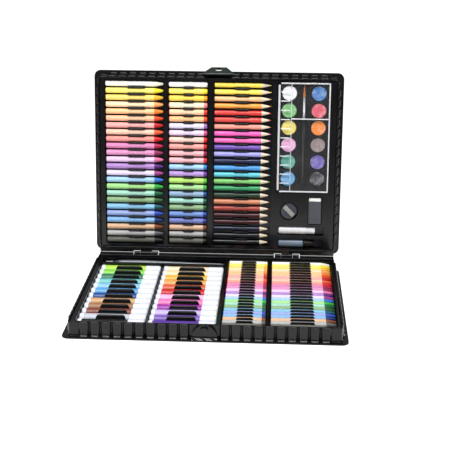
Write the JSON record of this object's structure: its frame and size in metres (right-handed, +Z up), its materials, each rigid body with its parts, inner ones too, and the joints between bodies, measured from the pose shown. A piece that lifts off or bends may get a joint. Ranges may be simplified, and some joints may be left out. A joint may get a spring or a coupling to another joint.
{
  "type": "drawing and painting art set",
  "caption": "Open book-style plastic case with wax crayons, oil pastels, pencils, markers, a watercolour palette and small tools in formed trays.",
  "frame": {"origin": "centre of the tray's underside, on the surface that the set lies on", "axes": "+X along the hinge, the case's longest side; +Y to the back, where the hinge is; +Z up, out of the tray"},
  "size_m": [0.39, 0.3494, 0.3119],
  "materials": {
    "case_plastic": "glossy black with light scuffs",
    "insert_plastic": "thin formed black sheet, satin gloss",
    "pin_steel": "plain drawn wire",
    "clasp_plastic": "smoky, slightly see-through",
    "wax_sticks": "paper-wrapped wax in twenty-four hues",
    "pencil_wood": "lacquered in twenty-four hues with bare wood at the point",
    "palette_plastic": "black, glossy",
    "clear_plastic": "clear moulded plastic",
    "paint_cakes": "dry matt paint in twelve hues",
    "brush_handle": "smooth dark lacquer",
    "ferrule_metal": "bright rolled sheet",
    "bristles": "fine hair",
    "sharpener_plastic": "black",
    "blade_steel": "ground bright",
    "eraser_rubber": "matt white",
    "sleeve_card": "coated dark grey card",
    "white_plastic": "glossy white",
    "grey_plastic": "grey-blue, slightly see-through",
    "marker_plastic": "smooth, twenty-four hues"
  },
  "bodies": {
    "tray": {"tray_shell": "case_plastic", "tray_insert": "insert_plastic", "latch_knob": "case_plastic", "hinge_pins": "pin_steel"},
    "lid": {"lid_shell": "case_plastic", "lid_insert": "insert_plastic", "clasp_pin": "pin_steel"},
    "clasp": {"latch_clasp": "clasp_plastic"},
    "lid_crayon_row": {"lid_crayons": "wax_sticks"},
    "lid_pastel_row": {"lid_pastels": "wax_sticks"},
    "lid_pencil_row": {"lid_pencils": "pencil_wood"},
    "palette": {"palette_base": "palette_plastic", "paint_cakes_left": "paint_cakes", "paint_cakes_right": "paint_cakes", "palette_brush_handle": "brush_handle", "palette_brush_ferrule": "ferrule_metal", "palette_brush_bristles": "bristles"},
    "palette_lid": {"palette_cover": "clear_plastic"},
    "pencil_sharpener": {"sharpener_body": "sharpener_plastic", "sharpener_blade": "blade_steel", "sharpener_screw": "blade_steel"},
    "eraser": {"eraser_block": "eraser_rubber", "eraser_sleeve": "sleeve_card"},
    "white_tube": {"white_tube_body": "white_plastic"},
    "white_cap": {"white_tube_cap": "white_plastic"},
    "grey_tube": {"grey_tube_body": "grey_plastic"},
    "grey_cap": {"grey_tube_cap": "case_plastic"},
    "left_markers": {"left_marker_plugs": "white_plastic", "left_marker_barrels": "marker_plastic", "left_marker_caps": "white_plastic"},
    "right_markers": {"right_marker_plugs": "white_plastic", "right_marker_barrels": "marker_plastic", "right_marker_caps": "white_plastic"},
    "tray_pastel_row": {"tray_pastels": "wax_sticks"},
    "tray_crayon_row": {"tray_crayons": "wax_sticks"},
    "long_brush": {"long_brush_bristles": "bristles", "long_brush_ferrule": "sharpener_plastic", "long_brush_handle": "brush_handle"}
  },
  "joints": [
    {"name": "lid_hinge", "type": "hinge", "parent": "tray", "child": "lid", "pos_m": [0, 0.144, 0.02265], "axis": [-1, 0, 0], "range_deg": [-96, 0]},
    {"name": "clasp_hinge", "type": "hinge", "parent": "lid", "child": "clasp", "pos_m": [0, 0.18237, 0.30499], "axis": [-1, 0, 0], "range_deg": [-159, 0]},
    {"name": "lid_crayons_lift", "type": "slide", "parent": "lid", "child": "lid_crayon_row", "axis": [0, -0.9945, 0.1045], "range_m": [0, 0.012]},
    {"name": "lid_pastels_lift", "type": "slide", "parent": "lid", "child": "lid_pastel_row", "axis": [0, -0.9945, 0.1045], "range_m": [0, 0.012]},
    {"name": "lid_pencils_lift", "type": "slide", "parent": "lid", "child": "lid_pencil_row", "axis": [0, -0.9945, 0.1045], "range_m": [0, 0.012]},
    {"name": "palette_lift", "type": "slide", "parent": "lid", "child": "palette", "axis": [0, -0.9945, 0.1045], "range_m": [0, 0.014]},
    {"name": "palette_cover_hinge", "type": "hinge", "parent": "palette", "child": "palette_lid", "pos_m": [0.0951, 0.16789, 0.20927], "axis": [0, -0.1045, -0.9945], "range_deg": [0, 95]},
    {"name": "sharpener_lift", "type": "slide", "parent": "lid", "child": "pencil_sharpener", "axis": [0, -0.9945, 0.1045], "range_m": [0, 0.016]},
    {"name": "eraser_lift", "type": "slide", "parent": "lid", "child": "eraser", "axis": [0, -0.9945, 0.1045], "range_m": [0, 0.014]},
    {"name": "white_tube_lift", "type": "slide", "parent": "lid", "child": "white_tube", "axis": [0, -0.9945, 0.1045], "range_m": [0, 0.016]},
    {"name": "white_cap_pull", "type": "slide", "parent": "white_tube", "child": "white_cap", "axis": [1, 0, 0], "range_m": [0, 0.011]},
    {"name": "grey_tube_lift", "type": "slide", "parent": "lid", "child": "grey_tube", "axis": [0, -0.9945, 0.1045], "range_m": [0, 0.016]},
    {"name": "grey_cap_pull", "type": "slide", "parent": "grey_tube", "child": "grey_cap", "axis": [1, 0, 0], "range_m": [0, 0.011]},
    {"name": "left_markers_lift", "type": "slide", "parent": "tray", "child": "left_markers", "axis": [0, 0, 1], "range_m": [0, 0.018]},
    {"name": "right_markers_lift", "type": "slide", "parent": "tray", "child": "right_markers", "axis": [0, 0, 1], "range_m": [0, 0.018]},
    {"name": "tray_pastels_lift", "type": "slide", "parent": "tray", "child": "tray_pastel_row", "axis": [0, 0, 1], "range_m": [0, 0.012]},
    {"name": "tray_crayons_lift", "type": "slide", "parent": "tray", "child": "tray_crayon_row", "axis": [0, 0, 1], "range_m": [0, 0.012]},
    {"name": "long_brush_lift", "type": "slide", "parent": "tray", "child": "long_brush", "axis": [0, 0, 1], "range_m": [0, 0.012]}
  ]
}
